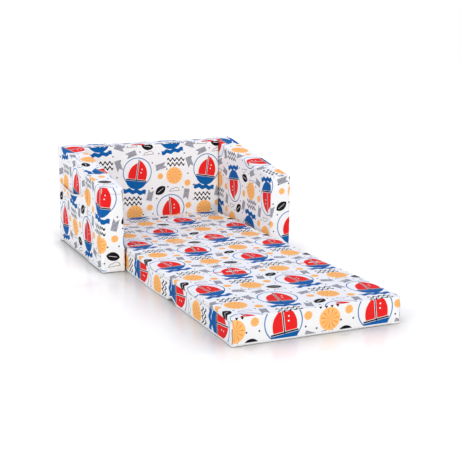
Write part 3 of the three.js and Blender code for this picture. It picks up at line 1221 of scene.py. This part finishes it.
FLOOR_COLOUR = linear(242, 241, 238)
FLOOR_LIFT = 0.08
FAR_LIFT = 0.6
FAR_START = 0.14
FAR_GROWTH = 0.9
LEFT_PAINTED_LIGHT = 0.24
LEFT_REACH = 0.055
LEFT_FRONT = -0.40
LEFT_EASE = 0.15
FRONT_PAINTED_LIGHT = 0.06
RIGHT_PAINTED_LIGHT = 0.09
EDGE_REACH = 0.04
CONTACT_REACH = 0.15
CONTACT_SHADE = 0.8
FLOOR_FINISH = {"Roughness": 0.24, "Specular IOR Level": 0.3}


def away_from(x, y, low, high):
    """How far a place on the floor is from a box's foot."""
    sides = [
        ((place - (start + end) / 2).size() - (end - start) / 2).math("MAXIMUM", 0)
        for place, start, end in zip((x, y), low, high)
    ]
    return length_of(*sides)


def make_floor():
    """A pale floor with a painted contact shadow where something stands close by. A glow that only the
    camera and reflections see whitens it a little further away, and adds painted light left of the arms, in
    front of the mattress and right of it.
    """
    material, tree, shader = fresh_material("floor", FLOOR_FINISH)
    # Painted contact shadow: the floor's colour is darkened by ambient occlusion near whatever stands on it
    contact = node_of(tree, "ShaderNodeAmbientOcclusion", {"Distance": CONTACT_REACH})
    shade = Value(tree, contact.outputs["AO"]).math("MULTIPLY_ADD", CONTACT_SHADE, 1 - CONTACT_SHADE)
    coloured(tree, shader, FLOOR_COLOUR[:3], shade)
    x, y, _ = coordinates(tree, own_place(tree))
    shell_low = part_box("left_arm_cover")[0]
    front_low, front_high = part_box("front_panel_cover")
    shell = away_from(x, y, shell_low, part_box("right_arm_cover")[1])
    mattress = away_from(x, y, front_low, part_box("middle_panel_cover")[1])
    far = held((shell.either(mattress) - FAR_START) * FAR_GROWTH, FAR_LIFT)
    # Painted light: extra glow on the floor left of the arms, in front of the mattress and right of it
    beside = held((x * -1 + shell_low[0]) * (1 / LEFT_REACH))
    left = beside * held((y - LEFT_FRONT) * (1 / LEFT_EASE)) * LEFT_PAINTED_LIGHT
    before = held((y * -1 + front_low[1]) * (1 / EDGE_REACH)) * FRONT_PAINTED_LIGHT
    beyond = held((x - front_high[0]) * (1 / EDGE_REACH)) * RIGHT_PAINTED_LIGHT
    # The glow is darkened by the same painted contact shadow
    lift = (far + left + before + beyond + FLOOR_LIFT) * shade
    glow = node_of(tree, "ShaderNodeEmission", {"Strength": lift * seen_directly(tree)})
    total = node_of(tree, "ShaderNodeAddShader", {0: shader.outputs[0], 1: glow.outputs[0]})
    tree.links.new(total.outputs[0], tree.nodes["Material Output"].inputs["Surface"])
    points = [(x * FLOOR_HALF, y * FLOOR_HALF, 0) for x, y in ((-1, -1), (1, -1), (1, 1), (-1, 1))]
    floor = mesh_object("floor", points, [(0, 1, 2, 3)], material)


WORLD_FILL = 0.98
WORLD_TINT = linear(237, 239, 254)


def make_world():
    world = bpy.data.worlds.new("studio")
    bpy.context.scene.world = world
    world.use_nodes = True
    tree = world.node_tree
    tree.nodes.clear()
    fill = node_of(tree, "ShaderNodeBackground", {"Color": WORLD_TINT, "Strength": WORLD_FILL})
    white = node_of(tree, "ShaderNodeBackground", {"Color": (1, 1, 1, 1)})
    lights = {0: seen_directly(tree), 1: fill.outputs[0], 2: white.outputs[0]}
    mix = node_of(tree, "ShaderNodeMixShader", lights)
    output = node_of(tree, "ShaderNodeOutputWorld")
    tree.links.new(mix.outputs[0], output.inputs["Surface"])


LAMPS = {
    "key": {"from": (-0.8, -7.7, 3.5), "strength": 1.0, "spread": 28},
    "left": {"from": (-7.0, -2.8, 3.2), "strength": 0.65, "spread": 22},
}
LAMP_COLOUR = (1, 0.965, 0.74)


def make_lamps():
    """Large soft lamps, far away."""
    for name, lamp in LAMPS.items():
        data = bpy.data.lights.new(name, "SUN")
        data.angle = math.radians(lamp["spread"])
        data.energy = lamp["strength"]
        data.color = LAMP_COLOUR
        obj = bpy.data.objects.new(name, data)
        bpy.context.scene.collection.objects.link(obj)
        obj.location = lamp["from"]
        obj.rotation_euler = Vector(lamp["from"]).to_track_quat("Z", "Y").to_euler()


# The scene
bpy.context.scene.view_settings.view_transform = "Standard"
make_camera()
make_world()
make_floor()
make_lamps()

cloth = printed_cloth()
base_cloth = plain_cloth("base_cloth")
binding = plain_cloth("binding")
zip_cloth = zip_tape()
zip_metal = slider_paint()

blocks = [
    arm_block("left_arm", LEFT, RIGHT, left_arm_print),
    arm_block("right_arm", RIGHT, LEFT, right_arm_print),
    back_block(),
    panel_block("seat_panel", "sofa_base"),
    panel_block("middle_panel", "middle_panel"),
    panel_block("front_panel", "front_panel"),
]
for block in blocks:
    block.build(cloth)
swell(blocks)
for number, block in enumerate(blocks):
    modified(block.obj, "SUBSURF", levels=1, render_levels=1)
    detail_cloth(block, SEED_STEP * number)
    base_tray(block, base_cloth)
    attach(block.obj, block.body)
    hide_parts(f"{block.name}_cover", f"{block.name}_foam")
    if block.name == "back":
        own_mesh(block.obj)

side_pocket(blocks[0], cloth, binding)

for material, nodes in (
    (binding, ("upper_hinge_tape", "lower_hinge_leaf_middle_panel", "lower_hinge_leaf_front_panel")),
    (zip_cloth, ("back_zip_tape", "middle_panel_zip_tape", "front_panel_zip_tape")),
    (zip_metal, ("back_zip_slider", "middle_panel_zip_slider", "front_panel_zip_slider")),
):
    for node in nodes:
        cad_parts[node].data.materials.clear()
        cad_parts[node].data.materials.append(material)
